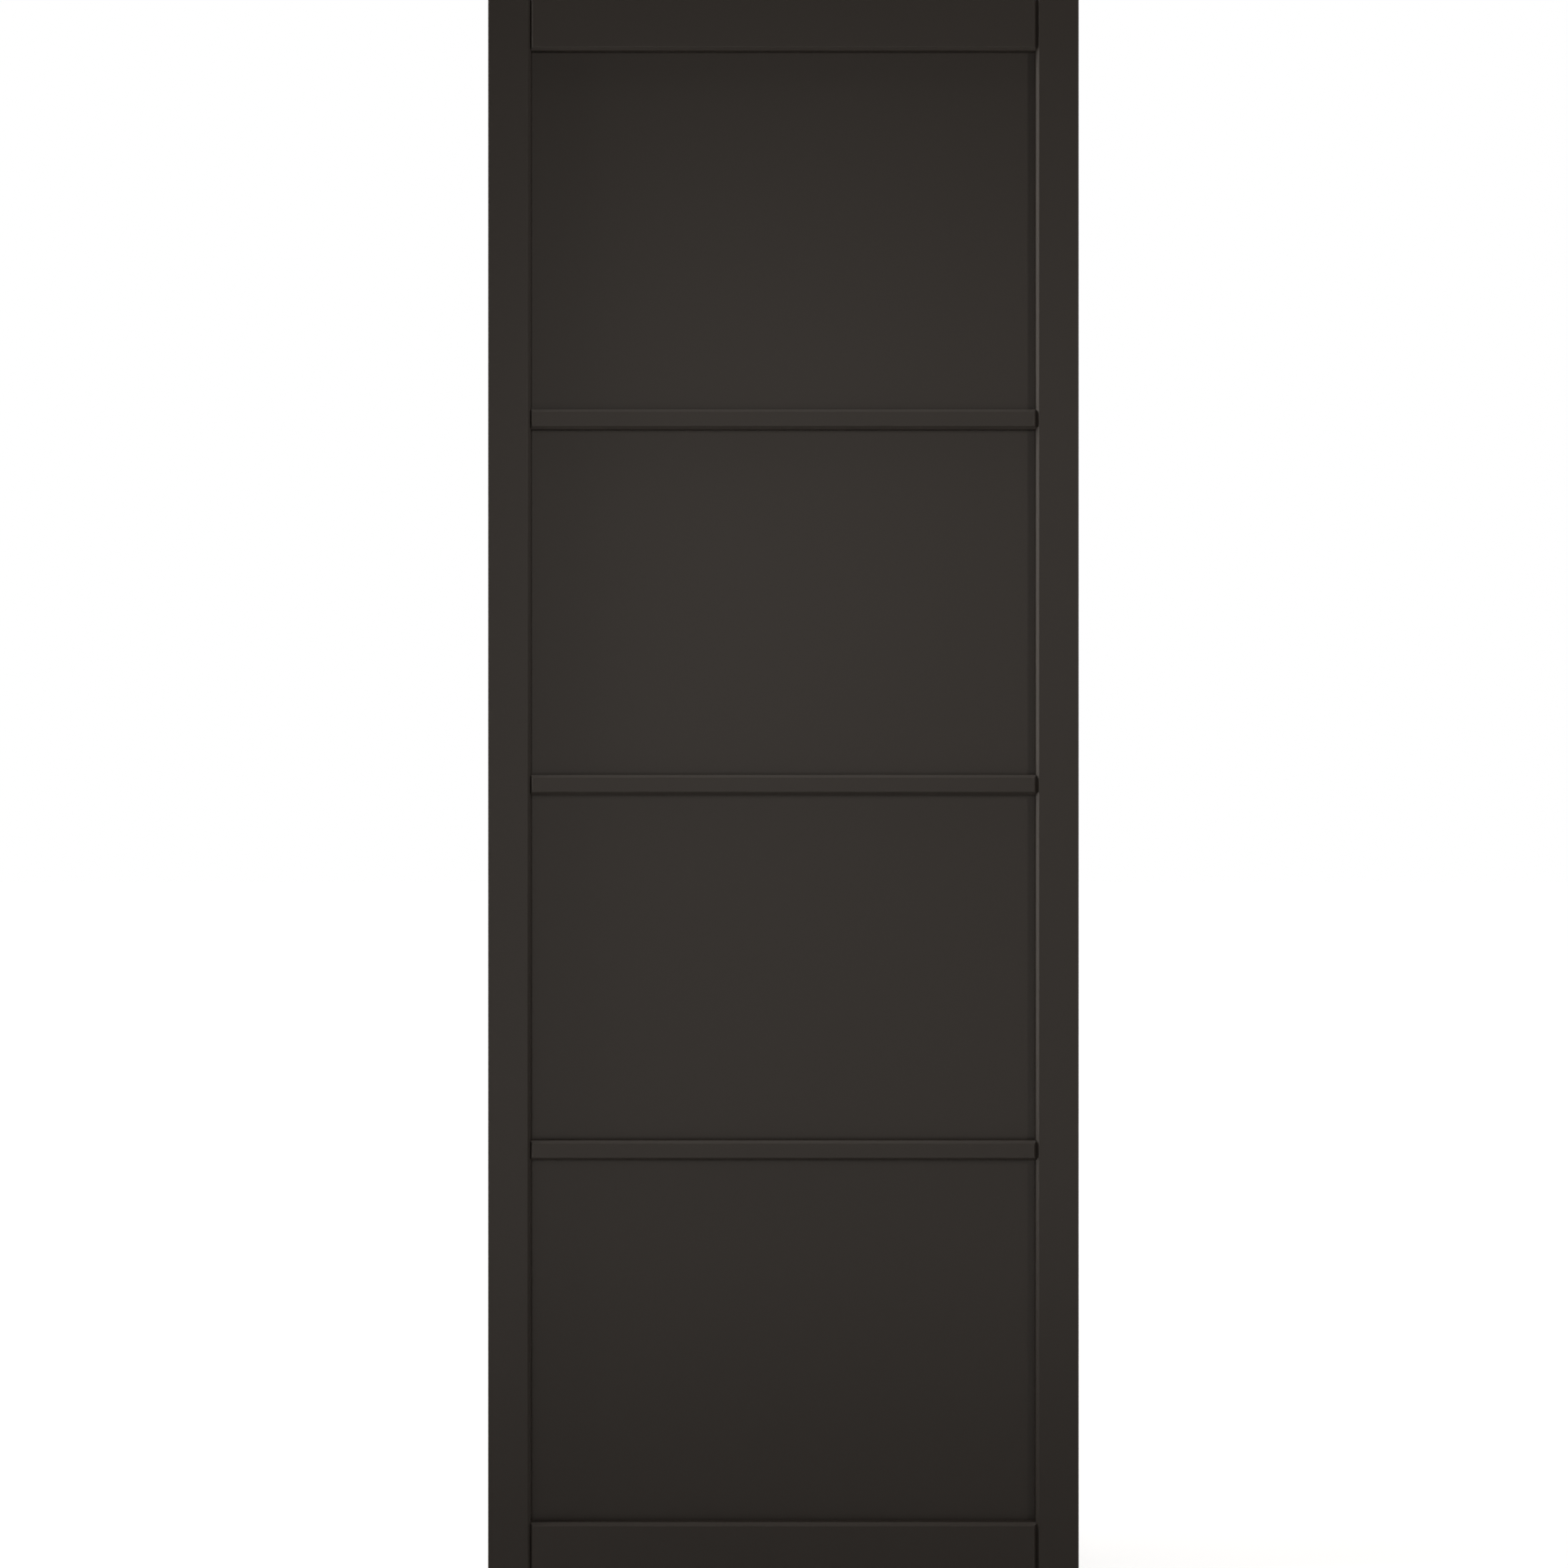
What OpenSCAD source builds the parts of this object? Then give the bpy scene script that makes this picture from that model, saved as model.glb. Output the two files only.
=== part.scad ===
// Four-panel interior door leaf, framed from two stiles, two rails and three slim bars.
// Every member has a 45 degree chamfer along its panel side, and the ends of the rails and
// bars have a smaller one, so each meets the stiles in a V joint. Flat panels sit in grooves
// on the centre line, and both faces of the leaf are alike.
// X runs across the leaf, Y through its thickness and Z up. The origin is the middle of
// the bottom edge, and the front faces -Y. All sizes are in millimetres.

/* [Leaf] */
// Overall width
leaf_w = 762; // [610:1:926]
// Overall height
leaf_h = 2032; // [1900:1:2400]
// Thickness of the stiles, rails and bars
leaf_t = 40; // [32:1:54]
// Chamfer that breaks the outer edges
edge_break = 1; // [0.5:0.1:2]

/* [Stiles, rails and bars] */
// Width of each stile
stile_w = 55; // [52:1:120]
// Height of the top rail
top_rail_h = 66; // [56:1:150]
// Height of the bottom rail
bottom_rail_h = 66; // [56:1:250]
// Height of each bar
bar_h = 26; // [25:1:60]
// Chamfer along the panel side of every member
sticking = 4; // [2:0.5:5]
// Chamfer across the ends of the rails and bars
end_chamfer = 2.5; // [1:0.5:4]

/* [Panels] */
// Height of the top panel between its rail and its bar
top_panel_h = 463; // [250:1:700]
// Height of each of the two middle panels between bars
middle_panel_h = 446; // [250:1:600]
// Thickness of every panel
panel_t = 15; // [9:0.5:18]
// Gap between each face of a panel and its groove wall
panel_face_gap = 0.2; // [0.1:0.05:0.4]
// Gap between the side and top edges of a panel and the groove bottoms
panel_edge_gap = 1; // [0.5:0.1:2]

/* [Joinery] */
// Depth of the panel grooves
groove_depth = 7; // [5:0.5:8]
// Gap between each face of a tenon and its groove wall
tenon_face_gap = 0.1; // [0.05:0.05:0.3]
// Gap between the end of a tenon and the groove bottom
tenon_end_gap = 1; // [0.5:0.1:2]
// Diameter of the rail dowels
rail_dowel_d = 10; // [8:0.5:12]
// Length of the rail dowels
rail_dowel_l = 80; // [50:1:90]
// Distance of each rail dowel's axis from the nearer edge of its tenon
rail_dowel_inset = 14; // [8:0.5:18]
// Diameter of the bar dowels
bar_dowel_d = 8; // [6:0.5:9]
// Length of the bar dowels
bar_dowel_l = 60; // [40:1:80]
// Chamfer on the ends of every dowel
dowel_chamfer = 1; // [0.5:0.1:1.5]
// Number of glue flutes along every dowel
dowel_flutes = 12; // [8:1:14]
// Depth of the half-round flutes
flute_depth = 0.5; // [0.3:0.1:0.7]
// Glue gap around every dowel
dowel_gap = 0.1; // [0.05:0.05:0.2]
// Glue space past each end of a dowel
dowel_end_gap = 1; // [0.5:0.1:3]

/* [Hidden] */
$fn = 64;

paint_colour = "#34302c";
dowel_colour = "#c9a26b";

// Overrun of a cutting solid past the face that it cuts
over = 1;

// The two ends of a member, the two faces of the leaf, and the edges of a rail or bar
ends = [-1, 1];
faces = [-1, 1];
lower = -1;
upper = 1;

// Rails and bars run between the shoulders, where they butt against the stiles
rail_len = leaf_w - 2 * stile_w;
shoulder_x = rail_len / 2;
face_y = leaf_t / 2;

// Grooves, the tenons that fill them at the joints, and how far the panels reach in
groove_w = panel_t + 2 * panel_face_gap;
tenon_t = groove_w - 2 * tenon_face_gap;
tenon_len = groove_depth - tenon_end_gap;
panel_reach = groove_depth - panel_edge_gap;

// Heights of the members' lower edges, from the top of the leaf down
top_rail_z = leaf_h - top_rail_h;
upper_bar_z = top_rail_z - top_panel_h - bar_h;
middle_bar_z = upper_bar_z - middle_panel_h - bar_h;
lower_bar_z = middle_bar_z - middle_panel_h - bar_h;
bottom_panel_h = lower_bar_z - bottom_rail_h;

// The dowels at each end of a member: their heights, their diameter and their length
function rail_joint(tenon_low, tenon_high) =
    [[tenon_low + rail_dowel_inset, tenon_high - rail_dowel_inset], rail_dowel_d, rail_dowel_l];
function bar_joint(bar_z) = [[bar_z + bar_h / 2], bar_dowel_d, bar_dowel_l];
top_rail_joint = rail_joint(top_rail_z + groove_depth, leaf_h);
upper_bar_joint = bar_joint(upper_bar_z);
middle_bar_joint = bar_joint(middle_bar_z);
lower_bar_joint = bar_joint(lower_bar_z);
bottom_rail_joint = rail_joint(0, bottom_rail_h - groove_depth);
joints = [top_rail_joint, upper_bar_joint, middle_bar_joint, lower_bar_joint, bottom_rail_joint];

// Whether a list of edges holds one edge
function holds(edges, edge) = len([for (e = edges) if (e == edge) e]) > 0;

// Cutter along X that leaves a 45 degree chamfer on the edge that it is centred on
module chamfer_cutter(length, size) {
    rotate([45, 0, 0])
        cube([length, size * sqrt(2), size * sqrt(2)], center = true);
}

// Puts its children at each dowel of a joint, centred on the shoulder with Z along the dowel
module at_dowels(joint) {
    for (end = ends, z = joint[0])
        translate([end * shoulder_x, 0, z])
            rotate([0, 90, 0])
                children();
}

module dowel_holes(joint) {
    at_dowels(joint)
        cylinder(d = joint[1] + 2 * dowel_gap, h = joint[2] + 2 * dowel_end_gap, center = true);
}

// Chamfers on the outer long edge and on both ends of the stile at -X
module stile_edge_breaks() {
    for (face = faces) {
        translate([-leaf_w / 2, face * face_y, leaf_h / 2])
            rotate([0, 90, 0])
                chamfer_cutter(leaf_h + 2 * over, edge_break);
        for (z = [0, leaf_h])
            translate([-leaf_w / 2 + stile_w / 2, face * face_y, z])
                chamfer_cutter(stile_w + 2 * over, edge_break);
    }
    for (z = [0, leaf_h])
        translate([-leaf_w / 2, 0, z])
            rotate([0, 0, 90])
                chamfer_cutter(leaf_t + 2 * over, edge_break);
}

// The stile at -X, with its chamfers and panel groove along the full height of its inner edge
module stile() {
    difference() {
        translate([-leaf_w / 2, -face_y, 0])
            cube([stile_w, leaf_t, leaf_h]);
        stile_edge_breaks();
        for (face = faces)
            translate([-shoulder_x, face * face_y, leaf_h / 2])
                rotate([0, 90, 0])
                    chamfer_cutter(leaf_h + 2 * over, sticking);
        translate([-shoulder_x, 0, leaf_h / 2])
            cube([2 * groove_depth, groove_w, leaf_h + 2 * over], center = true);
        for (joint = joints)
            dowel_holes(joint);
    }
}

// Chamfers on both faces of a rail or bar: its two ends and its two long edges
module member_chamfers(z, h, panel_edges) {
    for (face = faces) {
        for (end = ends)
            translate([end * shoulder_x, face * face_y, z + h / 2])
                rotate([0, 90, 0])
                    chamfer_cutter(h + 2 * over, end_chamfer);
        for (edge = [lower, upper])
            translate([0, face * face_y, edge == lower ? z : z + h])
                chamfer_cutter(rail_len + 2 * over, holds(panel_edges, edge) ? sticking : edge_break);
    }
}

// A rail or bar, grooved along the edges that carry a panel, with a stub tenon at each end
module cross_member(z, h, panel_edges, joint) {
    tenon_low = z + (holds(panel_edges, lower) ? groove_depth : 0);
    tenon_high = z + h - (holds(panel_edges, upper) ? groove_depth : 0);
    difference() {
        union() {
            difference() {
                translate([-shoulder_x, -face_y, z])
                    cube([rail_len, leaf_t, h]);
                member_chamfers(z, h, panel_edges);
            }
            translate([-shoulder_x - tenon_len, -tenon_t / 2, tenon_low])
                cube([rail_len + 2 * tenon_len, tenon_t, tenon_high - tenon_low]);
        }
        for (edge = panel_edges)
            translate([0, 0, edge == lower ? z : z + h])
                cube([rail_len + 2 * over, groove_w, 2 * groove_depth], center = true);
        dowel_holes(joint);
    }
}

// A flat panel that stands on the groove below its opening
module panel(opening_z, opening_h) {
    translate([-shoulder_x - panel_reach, -panel_t / 2, opening_z - groove_depth])
        cube([rail_len + 2 * panel_reach, panel_t, opening_h + groove_depth + panel_reach]);
}

// The dowels at both ends of a member, turned with chamfered ends and then fluted
module dowels(joint) {
    r = joint[1] / 2;
    half = joint[2] / 2;
    at_dowels(joint)
        difference() {
            rotate_extrude()
                polygon([
                    [0, -half], [r - dowel_chamfer, -half], [r, -half + dowel_chamfer],
                    [r, half - dowel_chamfer], [r - dowel_chamfer, half], [0, half]
                ]);
            for (flute = [0 : dowel_flutes - 1])
                rotate([0, 0, flute * 360 / dowel_flutes])
                    translate([r, 0, 0])
                        cylinder(r = flute_depth, h = joint[2] + 2 * over, center = true);
        }
}

module left_stile() { color(paint_colour) stile(); }
module right_stile() { color(paint_colour) mirror([1, 0, 0]) stile(); }

module top_rail() { color(paint_colour) cross_member(top_rail_z, top_rail_h, [lower], top_rail_joint); }
module upper_bar() { color(paint_colour) cross_member(upper_bar_z, bar_h, [lower, upper], upper_bar_joint); }
module middle_bar() { color(paint_colour) cross_member(middle_bar_z, bar_h, [lower, upper], middle_bar_joint); }
module lower_bar() { color(paint_colour) cross_member(lower_bar_z, bar_h, [lower, upper], lower_bar_joint); }
module bottom_rail() { color(paint_colour) cross_member(0, bottom_rail_h, [upper], bottom_rail_joint); }

module top_panel() { color(paint_colour) panel(upper_bar_z + bar_h, top_panel_h); }
module upper_panel() { color(paint_colour) panel(middle_bar_z + bar_h, middle_panel_h); }
module lower_panel() { color(paint_colour) panel(lower_bar_z + bar_h, middle_panel_h); }
module bottom_panel() { color(paint_colour) panel(bottom_rail_h, bottom_panel_h); }

module top_rail_dowels() { color(dowel_colour) dowels(top_rail_joint); }
module upper_bar_dowels() { color(dowel_colour) dowels(upper_bar_joint); }
module middle_bar_dowels() { color(dowel_colour) dowels(middle_bar_joint); }
module lower_bar_dowels() { color(dowel_colour) dowels(lower_bar_joint); }
module bottom_rail_dowels() { color(dowel_colour) dowels(bottom_rail_joint); }

left_stile();
right_stile();
top_rail();
upper_bar();
middle_bar();
lower_bar();
bottom_rail();
top_panel();
upper_panel();
lower_panel();
bottom_panel();
top_rail_dowels();
upper_bar_dowels();
middle_bar_dowels();
lower_bar_dowels();
bottom_rail_dowels();
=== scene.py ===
"""Finished look of the four-panel interior door leaf.

The eleven painted pieces are modelled with the arrises that paint softens, and the dowels keep
their own solids under a bare beech finish. Every size and place is in metres, in the frame of the
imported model, and comes from it wherever the model shows it.
"""

import logging
import math
from contextlib import contextmanager
from dataclasses import dataclass, field
from enum import Enum
from typing import Callable, Iterator

import bmesh
import bpy
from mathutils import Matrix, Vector


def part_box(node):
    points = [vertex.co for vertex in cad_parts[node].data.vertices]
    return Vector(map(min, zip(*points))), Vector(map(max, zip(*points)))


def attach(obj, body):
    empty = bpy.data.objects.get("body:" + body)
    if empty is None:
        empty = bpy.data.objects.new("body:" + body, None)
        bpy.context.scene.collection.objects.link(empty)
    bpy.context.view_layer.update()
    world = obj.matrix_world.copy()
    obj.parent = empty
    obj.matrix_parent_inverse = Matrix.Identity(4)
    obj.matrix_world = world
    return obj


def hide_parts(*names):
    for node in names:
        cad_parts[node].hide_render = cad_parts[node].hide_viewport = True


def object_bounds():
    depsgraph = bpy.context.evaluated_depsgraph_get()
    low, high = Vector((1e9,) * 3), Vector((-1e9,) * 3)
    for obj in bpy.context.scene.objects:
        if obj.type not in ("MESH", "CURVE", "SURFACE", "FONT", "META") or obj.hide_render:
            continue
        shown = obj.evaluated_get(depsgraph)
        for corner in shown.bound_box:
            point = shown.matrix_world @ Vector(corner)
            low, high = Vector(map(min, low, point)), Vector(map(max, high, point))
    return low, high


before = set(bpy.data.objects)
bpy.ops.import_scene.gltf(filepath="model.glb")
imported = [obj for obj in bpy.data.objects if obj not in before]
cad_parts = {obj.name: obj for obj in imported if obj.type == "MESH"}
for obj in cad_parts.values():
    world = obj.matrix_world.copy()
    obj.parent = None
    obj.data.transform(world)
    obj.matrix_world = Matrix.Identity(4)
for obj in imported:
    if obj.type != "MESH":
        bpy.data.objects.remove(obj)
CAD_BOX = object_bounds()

LOG = logging.getLogger("door_leaf")

BODY = "root"

# How near a point lies to a plane to count as on it, and the distance under which points are merged
NEAR = 1e-5
WELD = 1e-6
# Decimals of a metre that keep a tenth of a millimetre
PLACE_DIGITS = 4

# Edges that turn less than this are shaded as one smooth surface
SMOOTH_ANGLE = math.radians(35)
# Edges that turn less than this are no arris
FLAT_ANGLE = math.radians(10)

X_AXIS = Vector((1, 0, 0))
Y_AXIS = Vector((0, 1, 0))
Z_AXIS = Vector((0, 0, 1))

PointTest = Callable[[Vector, Vector], bool]


class Edge(Enum):
    """A long edge of a rail or bar."""

    LOWER = "lower"
    UPPER = "upper"


def near(one: float, other: float) -> bool:
    """Tells whether two coordinates are the same.

    Args:
        one: a coordinate.
        other: the coordinate that it is held against.

    Returns:
        True where they are less than NEAR apart.
    """
    return abs(one - other) < NEAR


def along_face(a: Vector, b: Vector, face: float) -> bool:
    """Tells whether an edge lies in the front or the back face.

    Args:
        a: one end of the edge.
        b: its other end.
        face: distance of both faces from the middle of the thickness.

    Returns:
        True where both ends are in the same face.
    """
    return near(abs(a.y), face) and near(a.y, b.y)


def clear_of_groove(groove: float) -> PointTest:
    """Makes a test for edges on the visible outside of a grooved member.

    Args:
        groove: width of the panel groove.

    Returns:
        The test, which takes an edge's two ends.
    """
    mouth = groove / 2 + NEAR
    return lambda a, b: abs(a.y) > mouth and abs(b.y) > mouth


@dataclass(frozen=True)
class Joinery:
    """Sizes that the members share.

    Attributes:
        sticking: chamfer along the panel side of every member.
        end_chamfer: chamfer across the ends of the rails and bars.
        edge_break: chamfer on the outer edges of the leaf.
        groove_depth: depth of the panel grooves.
        panel_gap: gap between a panel's face and its groove wall.
        tenon_gap: gap between a tenon's face and its groove wall.
        bore_gap: gap round a dowel.
        bore_end_gap: gap past each end of a dowel.
        arris: width of the paint's softening on each side of an arris.
        arris_steps: facets across a softened arris.
    """

    sticking: float = 0.004
    end_chamfer: float = 0.0025
    edge_break: float = 0.001
    groove_depth: float = 0.007
    panel_gap: float = 0.0002
    tenon_gap: float = 0.0001
    bore_gap: float = 0.00015
    bore_end_gap: float = 0.001
    arris: float = 0.0004
    arris_steps: int = 3


@dataclass(frozen=True)
class Bore:
    """A round hole along X.

    Attributes:
        centre: middle of the hole's axis.
        radius: radius of the hole.
        length: length of the hole.
    """

    centre: Vector
    radius: float
    length: float


@dataclass
class Blank:
    """A piece on the bench, shaped by operators on what is selected of it.

    Attributes:
        obj: the piece's mesh object.
        bit_sides: facets round a drilled hole.
    """

    obj: bpy.types.Object
    bit_sides: int = 48

    @classmethod
    def board(cls, name: str, low: Vector, high: Vector) -> "Blank":
        """Adds a squared board.

        Args:
            name: name of the piece.
            low: lowest corner.
            high: highest corner.

        Returns:
            The board, with its place in its mesh.
        """
        bpy.ops.object.select_all(action="DESELECT")
        bpy.ops.mesh.primitive_cube_add(size=1, location=(low + high) / 2)
        return cls._placed(name, high - low)

    @classmethod
    def section(cls, name: str, low: Vector, high: Vector) -> "Blank":
        """Adds a flat cross-section, square to X or to Z.

        Args:
            name: name of the piece.
            low: lowest corner.
            high: highest corner, level with the lowest along X or along Z.

        Returns:
            The section, with its place in its mesh.
        """
        size = high - low
        square_to_x = near(size.x, 0)
        turn = (0, math.pi / 2, 0) if square_to_x else (0, 0, 0)
        scale = Vector((size.z, size.y, 1)) if square_to_x else Vector((size.x, size.y, 1))
        bpy.ops.object.select_all(action="DESELECT")
        bpy.ops.mesh.primitive_plane_add(size=1, location=(low + high) / 2, rotation=turn)
        return cls._placed(name, scale)

    @classmethod
    def _placed(cls, name: str, scale: Vector) -> "Blank":
        """Names and sizes the new primitive, and puts its place into its mesh."""
        obj = bpy.context.object
        obj.name = name
        obj.data.name = name
        obj.scale = scale
        bpy.ops.object.transform_apply(location=True, rotation=True, scale=True)
        return cls(obj)

    @contextmanager
    def editing(self) -> Iterator[None]:
        """Opens the piece in edit mode."""
        bpy.ops.object.select_all(action="DESELECT")
        self.obj.select_set(True)
        bpy.context.view_layer.objects.active = self.obj
        bpy.ops.object.mode_set(mode="EDIT")
        yield
        bpy.ops.object.mode_set(mode="OBJECT")

    def pick_faces(self, test: PointTest) -> None:
        """Selects faces.

        Args:
            test: takes a face's centre and normal, and says whether it is wanted.
        """
        bpy.ops.mesh.select_mode(type="FACE")
        bpy.ops.mesh.select_all(action="DESELECT")
        mesh = bmesh.from_edit_mesh(self.obj.data)
        for face in mesh.faces:
            if test(face.calc_center_median(), face.normal):
                face.select_set(True)
        bmesh.update_edit_mesh(self.obj.data)

    def pick_edges(self, test: PointTest) -> None:
        """Selects edges that turn.

        Args:
            test: takes an edge's two ends, and says whether it is wanted.
        """
        bpy.ops.mesh.select_mode(type="EDGE")
        bpy.ops.mesh.select_all(action="DESELECT")
        mesh = bmesh.from_edit_mesh(self.obj.data)
        for edge in mesh.edges:
            if edge.calc_face_angle(0) > FLAT_ANGLE and test(edge.verts[0].co, edge.verts[1].co):
                edge.select_set(True)
        bmesh.update_edit_mesh(self.obj.data)

    def saw(self, point: Vector, normal: Vector) -> None:
        """Cuts the selected faces along a plane.

        Args:
            point: a point on the plane.
            normal: the plane's normal, one unit long.
        """
        bpy.ops.mesh.bisect(plane_co=point, plane_no=normal, threshold=NEAR)

    def plough(self, wall: Vector, floor: Vector, width: float) -> None:
        """Takes a groove out of a flat section.

        Args:
            wall: a point on the edge that the groove opens in.
            floor: the point of the groove's floor level with it.
            width: width of the groove, across Y.
        """
        outwards = (wall - floor).normalized()
        bpy.ops.mesh.select_all(action="SELECT")
        self.saw(floor, outwards)

        def beside(centre: Vector, normal: Vector) -> bool:
            """Tells whether a face lies between the floor and the edge."""
            return (centre - floor).dot(outwards) > 0

        for side in (-width / 2, width / 2):
            self.pick_faces(beside)
            self.saw(side * Y_AXIS, Y_AXIS)
        self.pick_faces(lambda centre, normal: beside(centre, normal) and abs(centre.y) < width / 2)
        bpy.ops.mesh.delete(type="FACE")
        bpy.ops.mesh.select_all(action="SELECT")
        bpy.ops.mesh.dissolve_limited(angle_limit=FLAT_ANGLE)

    def extrude(self, travel: Vector) -> None:
        """Extrudes the selected faces.

        Args:
            travel: how far they move.
        """
        bpy.ops.mesh.extrude_region_move(TRANSFORM_OT_translate={"value": travel})

    def extrude_section(self, travel: Vector) -> None:
        """Extrudes the whole section into a closed solid, with its faces outwards.

        Args:
            travel: from the section to the other end.
        """
        bpy.ops.mesh.select_all(action="SELECT")
        self.extrude(travel)
        bpy.ops.mesh.select_all(action="SELECT")
        bpy.ops.mesh.normals_make_consistent(inside=False)

    def chamfer(self, size: float, test: PointTest, steps: int = 1) -> None:
        """Planes a chamfer on edges, or a round where it has several steps.

        Args:
            size: distance from the edge on each face.
            test: takes an edge's two ends, and says whether it is wanted.
            steps: facets across the chamfer.
        """
        self.pick_edges(test)
        bpy.ops.mesh.bevel(offset=size, offset_type="OFFSET", segments=steps, affect="EDGES")

    def drill(self, bores: list[Bore]) -> None:
        """Drills round holes.

        Args:
            bores: the holes, clear of each other.
        """
        bpy.ops.object.select_all(action="DESELECT")
        bits = []
        for bore in bores:
            bpy.ops.mesh.primitive_cylinder_add(
                vertices=self.bit_sides,
                radius=bore.radius,
                depth=bore.length,
                location=bore.centre,
                rotation=(0, math.pi / 2, 0),
            )
            bits.append(bpy.context.object)
        for bit in bits:
            bit.select_set(True)
        bpy.ops.object.join()
        cutter = bpy.context.object
        self.apply("BOOLEAN", operation="DIFFERENCE", solver="EXACT", object=cutter)
        bpy.data.objects.remove(cutter)

    def apply(self, kind: str, **settings: object) -> None:
        """Adds a modifier and applies it.

        Args:
            kind: the modifier's type.
            settings: values of its properties.
        """
        modifier = self.obj.modifiers.new(kind.lower(), kind)
        for name, value in settings.items():
            setattr(modifier, name, value)
        bpy.context.view_layer.objects.active = self.obj
        bpy.ops.object.modifier_apply(modifier=modifier.name)

    def smooth(self) -> bpy.types.Object:
        """Merges, turns and shades the finished mesh.

        Returns:
            The piece's object.
        """
        with self.editing():
            bpy.ops.mesh.select_all(action="SELECT")
            bpy.ops.mesh.remove_doubles(threshold=WELD)
            bpy.ops.mesh.normals_make_consistent(inside=False)
        bpy.ops.object.shade_smooth_by_angle(angle=SMOOTH_ANGLE)
        self.apply("WEIGHTED_NORMAL", keep_sharp=True)
        return self.obj


@dataclass(frozen=True)
class DowelSet:
    """The dowels at both ends of a rail or bar.

    Attributes:
        node: their node in the frame.
        shoulder: distance of the members' shoulders from the middle of the leaf.
    """

    node: str
    shoulder: float

    def bores(self, joinery: Joinery) -> list[Bore]:
        """Works out the holes that the dowels sit in.

        Args:
            joinery: the gaps round a dowel.

        Returns:
            The holes on both sides of the leaf.
        """
        low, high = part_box(self.node)
        radius = (high.y - low.y) / 2
        heights = {round(height, PLACE_DIGITS) for height in (low.z + radius, high.z - radius)}
        length = 2 * (high.x - self.shoulder + joinery.bore_end_gap)
        return [
            Bore(Vector((side * self.shoulder, 0, height)), radius + joinery.bore_gap, length)
            for side in (-1, 1)
            for height in sorted(heights)
        ]


@dataclass(frozen=True)
class Stile:
    """An upright, chamfered and grooved along its inner edge.

    Attributes:
        node: its node in the frame.
        joinery: the shared sizes.
        groove: width of the panel groove.
        dowel_sets: the dowels that enter it.
    """

    node: str
    joinery: Joinery
    groove: float
    dowel_sets: list[DowelSet]

    def build(self) -> bpy.types.Object:
        """Models the upright.

        Returns:
            The finished piece.
        """
        low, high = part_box(self.node)
        inner = min(low.x, high.x, key=abs)
        outer = max(low.x, high.x, key=abs)
        inward = math.copysign(1, inner - outer)
        blank = Blank.section(f"{self.node}_timber", low, Vector((high.x, high.y, low.z)))
        with blank.editing():
            wall = Vector((inner, 0, low.z))
            blank.plough(wall, wall - inward * self.joinery.groove_depth * X_AXIS, self.groove)
            blank.extrude_section((high.z - low.z) * Z_AXIS)
            self._chamfer(blank, low, high, inner, outer)
        blank.drill([bore for bore in self._bores() if bore.centre.x * inner > 0])
        return blank.smooth()

    def _bores(self) -> Iterator[Bore]:
        """Gives the holes of every dowel in the leaf."""
        for dowels in self.dowel_sets:
            yield from dowels.bores(self.joinery)

    def _chamfer(self, blank: Blank, low: Vector, high: Vector, inner: float, outer: float) -> None:
        """Chamfers the inner edges, breaks the outer ones and softens every visible arris.

        Args:
            blank: the squared and grooved upright.
            low: its lowest corner.
            high: its highest corner.
            inner: X of its inner edge.
            outer: X of its outer edge.
        """
        face = high.y

        def along_inner(a: Vector, b: Vector) -> bool:
            """Tells whether an edge is a long one on the panel side."""
            return near(a.x, inner) and near(b.x, inner) and along_face(a, b, face)

        def on_rim(a: Vector, b: Vector) -> bool:
            """Tells whether an edge lies where two outer faces meet."""
            beside = near(a.x, outer) and near(b.x, outer)
            at_end = near(a.z, b.z) and (near(a.z, low.z) or near(a.z, high.z))
            return beside + along_face(a, b, face) + at_end >= 2

        blank.chamfer(self.joinery.sticking, along_inner)
        blank.chamfer(self.joinery.edge_break, on_rim)
        blank.chamfer(self.joinery.arris, clear_of_groove(self.groove), self.joinery.arris_steps)


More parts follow.
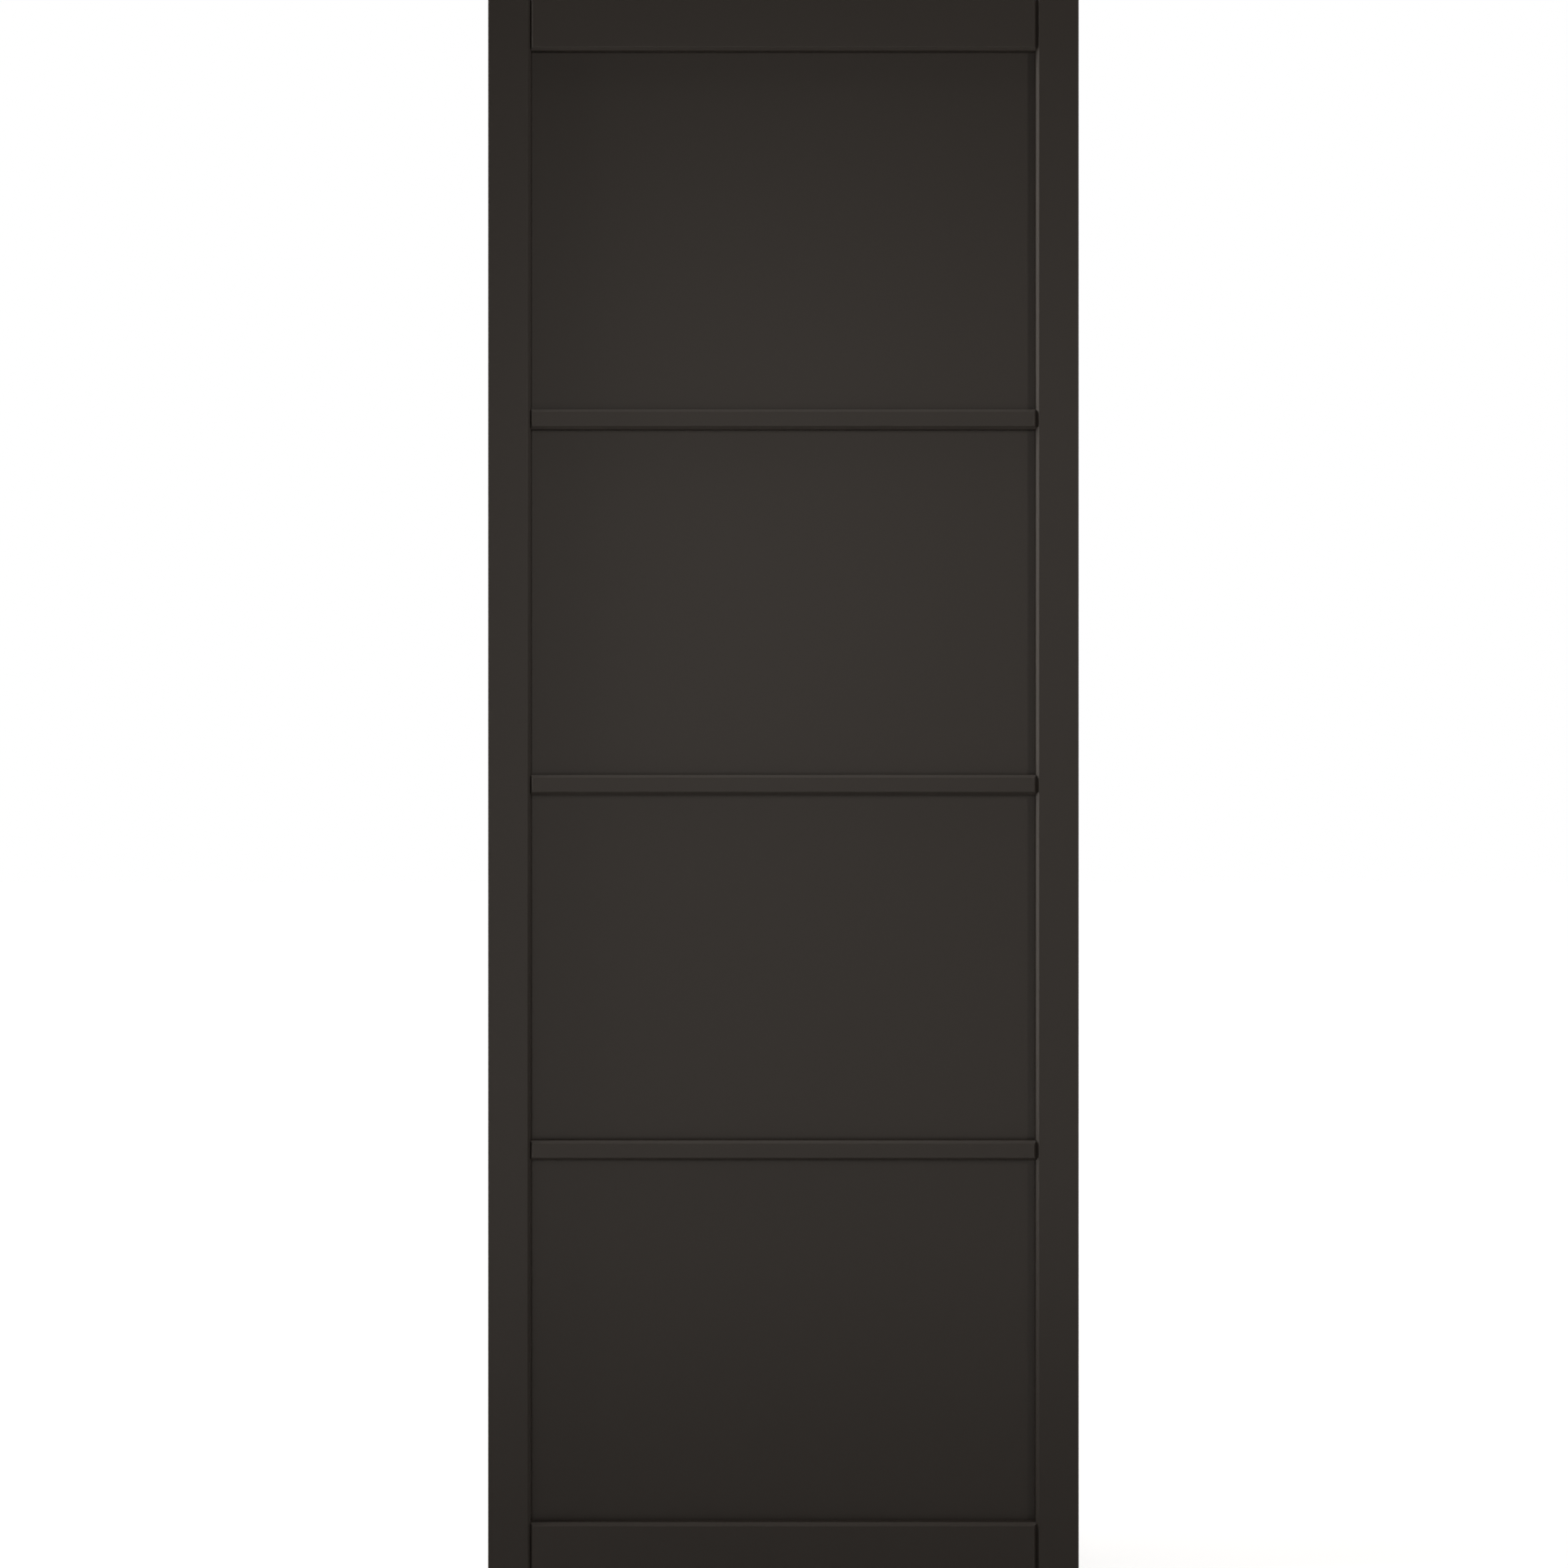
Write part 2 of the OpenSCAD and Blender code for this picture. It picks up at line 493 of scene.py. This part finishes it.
@dataclass(frozen=True)
class CrossMember:
    """A rail or bar, grooved where it carries a panel, with a stub tenon at each end.

    Attributes:
        node: its node in the frame.
        joinery: the shared sizes.
        groove: width of the panel groove.
        dowels: the dowels in its ends.
        panel_edges: the long edges that carry a panel.
    """

    node: str
    joinery: Joinery
    groove: float
    dowels: DowelSet
    panel_edges: tuple[Edge, ...]

    def build(self) -> bpy.types.Object:
        """Models the rail or bar.

        Returns:
            The finished piece.
        """
        low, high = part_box(self.node)
        shoulder = self.dowels.shoulder
        start = Vector((-shoulder, low.y, low.z))
        blank = Blank.section(f"{self.node}_timber", start, Vector((-shoulder, high.y, high.z)))
        with blank.editing():
            for edge in self.panel_edges:
                wall = Vector((-shoulder, 0, low.z if edge is Edge.LOWER else high.z))
                inward = 1 if edge is Edge.LOWER else -1
                blank.plough(wall, wall + inward * self.joinery.groove_depth * Z_AXIS, self.groove)
            blank.extrude_section(2 * shoulder * X_AXIS)
            self._chamfer(blank, low, high)
            for end in (-1, 1):
                self._tenon(blank, end, high.x - shoulder)
        blank.drill(self.dowels.bores(self.joinery))
        return blank.smooth()

    def _chamfer(self, blank: Blank, low: Vector, high: Vector) -> None:
        """Chamfers the long edges and the ends, and softens every visible arris.

        Args:
            blank: the squared and grooved member, without tenons.
            low: the node's lowest corner.
            high: the node's highest corner.
        """
        face = high.y
        heights = {Edge.LOWER: low.z, Edge.UPPER: high.z}

        def along(edge: Edge) -> PointTest:
            """Makes a test for the two arrises along a long edge."""
            height = heights[edge]
            return lambda a, b: near(a.z, height) and near(b.z, height) and along_face(a, b, face)

        for edge in self.panel_edges:
            blank.chamfer(self.joinery.sticking, along(edge))
        blank.chamfer(
            self.joinery.end_chamfer,
            lambda a, b: near(a.x, b.x) and along_face(a, b, face),
        )
        for edge in heights:
            if edge not in self.panel_edges:
                blank.chamfer(self.joinery.edge_break, along(edge))
        blank.chamfer(self.joinery.arris, clear_of_groove(self.groove), self.joinery.arris_steps)

    def _tenon(self, blank: Blank, end: int, length: float) -> None:
        """Draws a stub tenon out of one end.

        Args:
            blank: the chamfered member.
            end: -1 for the left end and 1 for the right one.
            length: length of the tenon.
        """
        half = self.groove / 2 - self.joinery.tenon_gap

        def at_end(centre: Vector, normal: Vector) -> bool:
            """Tells whether a face is in the shoulder at this end."""
            return near(centre.x, end * self.dowels.shoulder) and near(normal.x, end)

        for side in (-half, half):
            blank.pick_faces(at_end)
            blank.saw(side * Y_AXIS, Y_AXIS)
        blank.pick_faces(lambda centre, normal: at_end(centre, normal) and abs(centre.y) < half)
        blank.extrude(end * length * X_AXIS)


@dataclass(frozen=True)
class Panel:
    """A flat panel that floats in the grooves.

    Attributes:
        node: its node in the frame.
        joinery: the shared sizes.
    """

    node: str
    joinery: Joinery

    def build(self) -> bpy.types.Object:
        """Models the panel, with its edges eased to enter the grooves.

        Returns:
            The finished piece.
        """
        blank = Blank.board(f"{self.node}_board", *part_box(self.node))
        with blank.editing():
            blank.chamfer(self.joinery.arris, lambda a, b: True, self.joinery.arris_steps)
        return blank.smooth()


class SurfaceGroup:
    """A shader node group that turns a place on a piece into a value that changes over it."""

    def __init__(self, name: str, output: str) -> None:
        """Starts the group with its coordinate and scale inputs.

        Args:
            name: name of the group.
            output: name of its one output.
        """
        self.tree = bpy.data.node_groups.new(name, "ShaderNodeTree")
        sockets = self.tree.interface
        sockets.new_socket(name="Vector", in_out="INPUT", socket_type="NodeSocketVector")
        sockets.new_socket(name="Scale", in_out="INPUT", socket_type="NodeSocketFloat")
        sockets.new_socket(name=output, in_out="OUTPUT", socket_type="NodeSocketFloat")
        self.inlet = self.tree.nodes.new("NodeGroupInput")
        self.outlet = self.tree.nodes.new("NodeGroupOutput")

    def noise(self, detail: float, finer: float = 1.0) -> bpy.types.NodeSocket:
        """Adds a noise on the group's coordinate.

        Args:
            detail: octaves of the noise.
            finer: how much finer it is than the group's scale.

        Returns:
            The noise's value.
        """
        node = self.tree.nodes.new("ShaderNodeTexNoise")
        node.inputs["Detail"].default_value = detail
        scale = self.tree.nodes.new("ShaderNodeMath")
        scale.operation = "MULTIPLY"
        scale.inputs[1].default_value = finer
        self.tree.links.new(self.inlet.outputs["Scale"], scale.inputs[0])
        self.tree.links.new(scale.outputs[0], node.inputs["Scale"])
        self.tree.links.new(self.inlet.outputs["Vector"], node.inputs["Vector"])
        return node.outputs["Fac"]

    def average(self, one: bpy.types.NodeSocket, other: bpy.types.NodeSocket) -> None:
        """Puts out the mean of two values.

        Args:
            one: a value.
            other: the value that it is averaged with.
        """
        total = self.tree.nodes.new("ShaderNodeMath")
        total.operation = "ADD"
        half = self.tree.nodes.new("ShaderNodeMath")
        half.operation = "MULTIPLY"
        half.inputs[1].default_value = 0.5
        self.tree.links.new(one, total.inputs[0])
        self.tree.links.new(other, total.inputs[1])
        self.tree.links.new(total.outputs[0], half.inputs[0])
        self.tree.links.new(half.outputs[0], self.outlet.inputs[0])


@dataclass
class SurfaceGroups:
    """The node groups that the finishes share, each the mean of a coarse and a fine noise.

    Attributes:
        drift_finer: how much finer the drift's fine noise is than its coarse one.
        stipple_finer: how much finer the stipple's fine noise is than its coarse one.
        drift: slow change of tone over a piece.
        stipple: fine unevenness of the surface.
    """

    drift_finer: float = 3.7
    stipple_finer: float = 2.3
    drift: bpy.types.NodeTree = field(init=False)
    stipple: bpy.types.NodeTree = field(init=False)

    def __post_init__(self) -> None:
        """Builds both groups."""
        drift = SurfaceGroup("tone_drift", "Drift")
        drift.average(drift.noise(detail=1), drift.noise(detail=2, finer=self.drift_finer))
        self.drift = drift.tree
        stipple = SurfaceGroup("fine_stipple", "Height")
        stipple.average(stipple.noise(detail=2), stipple.noise(detail=1, finer=self.stipple_finer))
        self.stipple = stipple.tree


@dataclass(frozen=True)
class Finish:
    """A surface whose tone, gloss and relief change a little over each piece.

    Attributes:
        name: name of the material.
        deep: the deeper tone.
        pale: the paler tone.
        gloss: roughness at the deeper and the paler tone.
        drift_scale: scale of the change of tone.
        stipple_scale: scale of the relief.
        relief: height of the relief.
        stretch: how the pattern is drawn out along each axis.
    """

    name: str
    deep: tuple[float, float, float]
    pale: tuple[float, float, float]
    gloss: tuple[float, float]
    drift_scale: float
    stipple_scale: float
    relief: float
    stretch: tuple[float, float, float] = (1.0, 1.0, 1.0)

    def material(self, groups: SurfaceGroups) -> bpy.types.Material:
        """Builds the material.

        Args:
            groups: the shared node groups.

        Returns:
            The material, on Object coordinates.
        """
        material = bpy.data.materials.new(self.name)
        material.use_nodes = True
        nodes = material.node_tree.nodes
        links = material.node_tree.links
        shader = nodes["Principled BSDF"]

        place = nodes.new("ShaderNodeTexCoord")
        mapping = nodes.new("ShaderNodeMapping")
        mapping.inputs["Scale"].default_value = self.stretch
        links.new(place.outputs["Object"], mapping.inputs["Vector"])

        drift = self._group(material, groups.drift, self.drift_scale, mapping)
        tone = nodes.new("ShaderNodeMix")
        tone.data_type = "RGBA"
        tone.inputs["A"].default_value = (*self.deep, 1)
        tone.inputs["B"].default_value = (*self.pale, 1)
        gloss = nodes.new("ShaderNodeMapRange")
        gloss.inputs["To Min"].default_value, gloss.inputs["To Max"].default_value = self.gloss
        links.new(drift.outputs["Drift"], tone.inputs["Factor"])
        links.new(drift.outputs["Drift"], gloss.inputs["Value"])
        links.new(tone.outputs["Result"], shader.inputs["Base Color"])
        links.new(gloss.outputs["Result"], shader.inputs["Roughness"])

        stipple = self._group(material, groups.stipple, self.stipple_scale, mapping)
        bump = nodes.new("ShaderNodeBump")
        bump.inputs["Distance"].default_value = self.relief
        links.new(stipple.outputs["Height"], bump.inputs["Height"])
        links.new(bump.outputs["Normal"], shader.inputs["Normal"])
        return material

    @staticmethod
    def _group(
        material: bpy.types.Material,
        tree: bpy.types.NodeTree,
        scale: float,
        mapping: bpy.types.Node,
    ) -> bpy.types.Node:
        """Places a shared group in the material.

        Args:
            material: the material.
            tree: the group.
            scale: the group's scale here.
            mapping: the node that gives the coordinate.

        Returns:
            The group's node.
        """
        node = material.node_tree.nodes.new("ShaderNodeGroup")
        node.node_tree = tree
        node.inputs["Scale"].default_value = scale
        material.node_tree.links.new(mapping.outputs["Vector"], node.inputs["Vector"])
        return node


SATIN_PAINT = Finish(
    name="satin_paint",
    deep=(0.0290, 0.0249, 0.0217),
    pale=(0.0316, 0.0271, 0.0235),
    gloss=(0.43, 0.47),
    drift_scale=2.5,
    stipple_scale=700,
    relief=0.00001,
)
BARE_BEECH = Finish(
    name="bare_beech",
    deep=(0.42, 0.26, 0.13),
    pale=(0.64, 0.44, 0.25),
    gloss=(0.55, 0.72),
    drift_scale=260,
    stipple_scale=1500,
    relief=0.00006,
    stretch=(0.12, 1.0, 1.0),
)


@dataclass
class DoorLeaf:
    """The whole leaf: two stiles, two rails, three bars, four panels and their dowels.

    Attributes:
        joinery: the shared sizes.
        paint: finish of the painted pieces.
        bare: finish of the dowels.
        stiles: nodes of the uprights.
        members: nodes of the rails and bars, from the top down.
        panels: nodes of the panels, from the top down.
    """

    joinery: Joinery = Joinery()
    paint: Finish = SATIN_PAINT
    bare: Finish = BARE_BEECH
    stiles: tuple[str, ...] = ("left_stile", "right_stile")
    members: tuple[str, ...] = ("top_rail", "upper_bar", "middle_bar", "lower_bar", "bottom_rail")
    panels: tuple[str, ...] = ("top_panel", "upper_panel", "lower_panel", "bottom_panel")

    def build(self) -> None:
        """Models, dresses and registers every piece."""
        groups = SurfaceGroups()
        paint = self.paint.material(groups)
        for maker in self._makers():
            piece = maker.build()
            piece.data.materials.append(paint)
            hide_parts(maker.node)
            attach(piece, BODY)
            LOG.info("%s stands for %s, %d faces", piece.name, maker.node, len(piece.data.polygons))
        beech = self.bare.material(groups)
        for member in self.members:
            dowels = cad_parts[f"{member}_dowels"]
            for slot in dowels.material_slots:
                slot.material = beech
            LOG.info("%s keeps its solids under %s", dowels.name, beech.name)

    def _makers(self) -> Iterator[Stile | CrossMember | Panel]:
        """Gives each painted piece's maker, in the order of assembly."""
        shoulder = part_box("right_stile")[0].x
        panel_low, panel_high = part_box("top_panel")
        groove = panel_high.y - panel_low.y + 2 * self.joinery.panel_gap
        dowel_sets = [DowelSet(f"{member}_dowels", shoulder) for member in self.members]
        for stile in self.stiles:
            yield Stile(stile, self.joinery, groove, dowel_sets)
        panel_edges = {"top_rail": (Edge.LOWER,), "bottom_rail": (Edge.UPPER,)}
        for member, dowels in zip(self.members, dowel_sets):
            edges = panel_edges.get(member, (Edge.LOWER, Edge.UPPER))
            yield CrossMember(member, self.joinery, groove, dowels, edges)
        for panel in self.panels:
            yield Panel(panel, self.joinery)


@dataclass(frozen=True)
class Softbox:
    """A rectangular studio lamp.

    Attributes:
        name: name of the lamp.
        centre: where it stands.
        aim: the point that it faces.
        width: its width.
        height: its height.
        radiance: brightness of its face.
    """

    name: str
    centre: tuple[float, float, float]
    aim: tuple[float, float, float]
    width: float
    height: float
    radiance: float

    @classmethod
    def on_stand(
        cls,
        name: str,
        bearing: float,
        level: float,
        width: float,
        height: float,
        radiance: float,
        distance: float = 3.2,
    ) -> "Softbox":
        """Stands a lamp upright in front of the leaf, facing the line up its middle.

        Args:
            name: name of the lamp.
            bearing: degrees to the right of straight in front.
            level: height of its middle above the floor.
            width: its width.
            height: its height.
            radiance: brightness of its face.
            distance: from the line up the leaf's middle.

        Returns:
            The lamp, ready to place.
        """
        turn = math.radians(bearing)
        centre = (distance * math.sin(turn), -distance * math.cos(turn), level)
        return cls(name, centre, (0, 0, level), width, height, radiance)

    def place(self, tint: tuple[float, float, float]) -> bpy.types.Object:
        """Adds the lamp, unseen by the camera.

        Args:
            tint: colour of its light.

        Returns:
            The lamp.
        """
        bpy.ops.object.select_all(action="DESELECT")
        bpy.ops.object.light_add(type="AREA", location=self.centre)
        lamp = bpy.context.object
        lamp.name = self.name
        lamp.data.shape = "RECTANGLE"
        lamp.data.size = self.width
        lamp.data.size_y = self.height
        lamp.data.energy = self.radiance * self.width * self.height * math.pi
        lamp.data.color = tint
        facing = Vector(self.aim) - Vector(self.centre)
        lamp.rotation_euler = facing.to_track_quat("-Z", "Y").to_euler()
        lamp.visible_camera = False
        return lamp


@dataclass(frozen=True)
class Studio:
    """Soft light, a white background and a pale floor.

    Attributes:
        lamps: the softboxes.
        tint: colour of their light.
        ambient: brightness of the dim room round the lamps.
        floor_size: side of the square floor.
        floor_colour: lit colour of the floor.
        floor_glow: brightness that the camera sees of the floor by the leaf besides its lit colour.
        floor_fade: distances over which that brightness rises to the background's white.
        behind_from: Y from which a direction or position counts as behind the leaf.
    """

    lamps: tuple[Softbox, ...]
    tint: tuple[float, float, float] = (1.0, 0.92, 0.845)
    ambient: float = 0.02
    floor_size: float = 40.0
    floor_colour: float = 0.66
    floor_glow: float = 0.84
    floor_fade: tuple[float, float] = (0.6, 3.0)
    behind_from: float = 0.2

    def build(self) -> None:
        """Builds the lamps, the background and the floor."""
        for lamp in self.lamps:
            lamp.place(self.tint)
            LOG.info("%s lit", lamp.name)
        self._background()
        self._floor()

    def _background(self) -> None:
        """Makes the world white behind the leaf and dim elsewhere."""
        world = bpy.data.worlds.new("white_background")
        bpy.context.scene.world = world
        world.use_nodes = True
        nodes = world.node_tree.nodes
        links = world.node_tree.links
        dim = nodes["Background"]
        dim.inputs["Color"].default_value = (*self.tint, 1)
        dim.inputs["Strength"].default_value = self.ambient
        white = nodes.new("ShaderNodeBackground")
        white.inputs["Color"].default_value = (1, 1, 1, 1)
        direction = nodes.new("ShaderNodeTexCoord")
        mixer = nodes.new("ShaderNodeMixShader")
        links.new(self._seen(world.node_tree, direction.outputs["Generated"]), mixer.inputs[0])
        links.new(dim.outputs[0], mixer.inputs[1])
        links.new(white.outputs[0], mixer.inputs[2])
        links.new(mixer.outputs[0], nodes["World Output"].inputs["Surface"])

    def _floor(self) -> None:
        """Lays a pale floor that keeps the leaf's shadow."""
        bpy.ops.object.select_all(action="DESELECT")
        bpy.ops.mesh.primitive_plane_add(size=self.floor_size)
        floor = bpy.context.object
        floor.name = "floor"
        material = bpy.data.materials.new("pale_floor")
        material.use_nodes = True
        nodes = material.node_tree.nodes
        links = material.node_tree.links
        nodes.remove(nodes["Principled BSDF"])
        lit = nodes.new("ShaderNodeBsdfDiffuse")
        lit.inputs["Color"].default_value = (*[self.floor_colour] * 3, 1)
        glow = nodes.new("ShaderNodeEmission")
        place = nodes.new("ShaderNodeNewGeometry")
        distance = nodes.new("ShaderNodeVectorMath")
        distance.operation = "LENGTH"
        fade = nodes.new("ShaderNodeMapRange")
        fade.interpolation_type = "SMOOTHSTEP"
        fade_start, fade_end = self.floor_fade
        fade.inputs["From Min"].default_value = fade_start
        fade.inputs["From Max"].default_value = fade_end
        fade.inputs["To Min"].default_value = self.floor_glow
        fade.inputs["To Max"].default_value = 1
        strength = nodes.new("ShaderNodeMath")
        strength.operation = "MULTIPLY"
        both = nodes.new("ShaderNodeAddShader")
        links.new(place.outputs["Position"], distance.inputs[0])
        links.new(distance.outputs["Value"], fade.inputs["Value"])
        links.new(self._seen(material.node_tree, place.outputs["Position"]), strength.inputs[0])
        links.new(fade.outputs["Result"], strength.inputs[1])
        links.new(strength.outputs[0], glow.inputs["Strength"])
        links.new(lit.outputs[0], both.inputs[0])
        links.new(glow.outputs[0], both.inputs[1])
        links.new(both.outputs[0], nodes["Material Output"].inputs["Surface"])
        floor.data.materials.append(material)

    def _seen(self, tree: bpy.types.NodeTree, place: bpy.types.NodeSocket) -> bpy.types.NodeSocket:
        """Tells which rays see the background white: the camera's, those through glass, and
        reflections of what lies behind the leaf.

        Args:
            tree: the node tree.
            place: direction or position, whose Y grows towards the back.

        Returns:
            A value of 1 for such rays and 0 for others.
        """
        path = tree.nodes.new("ShaderNodeLightPath")
        axes = tree.nodes.new("ShaderNodeSeparateXYZ")
        behind = tree.nodes.new("ShaderNodeMath")
        behind.operation = "GREATER_THAN"
        behind.inputs[1].default_value = self.behind_from
        mirrored = tree.nodes.new("ShaderNodeMath")
        mirrored.operation = "MULTIPLY"
        direct = tree.nodes.new("ShaderNodeMath")
        direct.operation = "MAXIMUM"
        seen = tree.nodes.new("ShaderNodeMath")
        seen.operation = "MAXIMUM"
        tree.links.new(place, axes.inputs[0])
        tree.links.new(axes.outputs["Y"], behind.inputs[0])
        tree.links.new(behind.outputs[0], mirrored.inputs[0])
        tree.links.new(path.outputs["Is Glossy Ray"], mirrored.inputs[1])
        tree.links.new(path.outputs["Is Camera Ray"], direct.inputs[0])
        tree.links.new(path.outputs["Is Transmission Ray"], direct.inputs[1])
        tree.links.new(direct.outputs[0], seen.inputs[0])
        tree.links.new(mirrored.outputs[0], seen.inputs[1])
        return seen.outputs[0]


SOFTBOXES = (
    Softbox.on_stand("front_softbox", bearing=-5, level=1.78, width=0.75, height=1.9, radiance=2.05),
    Softbox.on_stand("upper_fill", bearing=10.8, level=1.9, width=1.55, height=1.5, radiance=0.5),
    Softbox.on_stand("low_left_fill", bearing=-14.5, level=0.3, width=1.2, height=0.6, radiance=1.2),
    Softbox.on_stand("low_right_fill", bearing=14.5, level=0.3, width=1.2, height=0.6, radiance=0.8),
    Softbox.on_stand(
        "key_strip",
        bearing=51.5,
        level=1.8,
        width=0.22,
        height=1.36,
        radiance=23.0,
        distance=3.0,
    ),
    Softbox(
        "left_strip",
        centre=(-2.3, -0.19, 1.7),
        aim=(0, -0.19, 1.7),
        width=0.34,
        height=3.2,
        radiance=10.5,
    ),
    Softbox(
        "overhead",
        centre=(0, -0.6, 5.5),
        aim=(0, -0.6, 0),
        width=2.4,
        height=1.2,
        radiance=3.4,
    ),
    Softbox(
        "floor_card",
        centre=(0, -2.1, 0.004),
        aim=(0, -2.1, 1),
        width=2.6,
        height=1.3,
        radiance=0.75,
    ),
)


@dataclass(frozen=True)
class PhotoCamera:
    """A camera square to the front of the leaf.

    Attributes:
        frame_px: side of the square picture.
        left_px: column of the leaf's left edge in the picture.
        right_px: column of its right edge.
        bar_px: row of the middle of the middle bar.
        distance: from the lens to the leaf's front.
        sensor: width of the sensor, in millimetres.
    """

    frame_px: float = 1932
    left_px: float = 601.2
    right_px: float = 1329.3
    bar_px: float = 967.05
    distance: float = 2.86
    sensor: float = 36.0

    def place(self) -> None:
        """Adds the camera and makes it the scene's."""
        low, high = CAD_BOX
        bar_low, bar_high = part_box("middle_bar")
        metres_per_px = (high.x - low.x) / (self.right_px - self.left_px)
        middle_px = self.frame_px / 2
        leaf_px = (self.left_px + self.right_px) / 2
        aim_x = (low.x + high.x) / 2 + (middle_px - leaf_px) * metres_per_px
        aim_z = (bar_low.z + bar_high.z) / 2 + (self.bar_px - middle_px) * metres_per_px
        bpy.ops.object.select_all(action="DESELECT")
        bpy.ops.object.camera_add(
            location=(aim_x, low.y - self.distance, aim_z),
            rotation=(math.pi / 2, 0, 0),
        )
        camera = bpy.context.object
        camera.name = "photo_camera"
        camera.data.sensor_width = self.sensor
        camera.data.lens = self.sensor * self.distance / (self.frame_px * metres_per_px)
        bpy.context.scene.camera = camera
        LOG.info("camera at %s, lens %.2f mm", tuple(camera.location), camera.data.lens)


def main() -> None:
    """Builds the camera, the leaf and the studio."""
    logging.basicConfig(level=logging.INFO, format="%(message)s")
    bpy.context.scene.view_settings.view_transform = "Standard"
    PhotoCamera().place()
    DoorLeaf().build()
    Studio(SOFTBOXES).build()


if __name__ == "__main__":
    main()
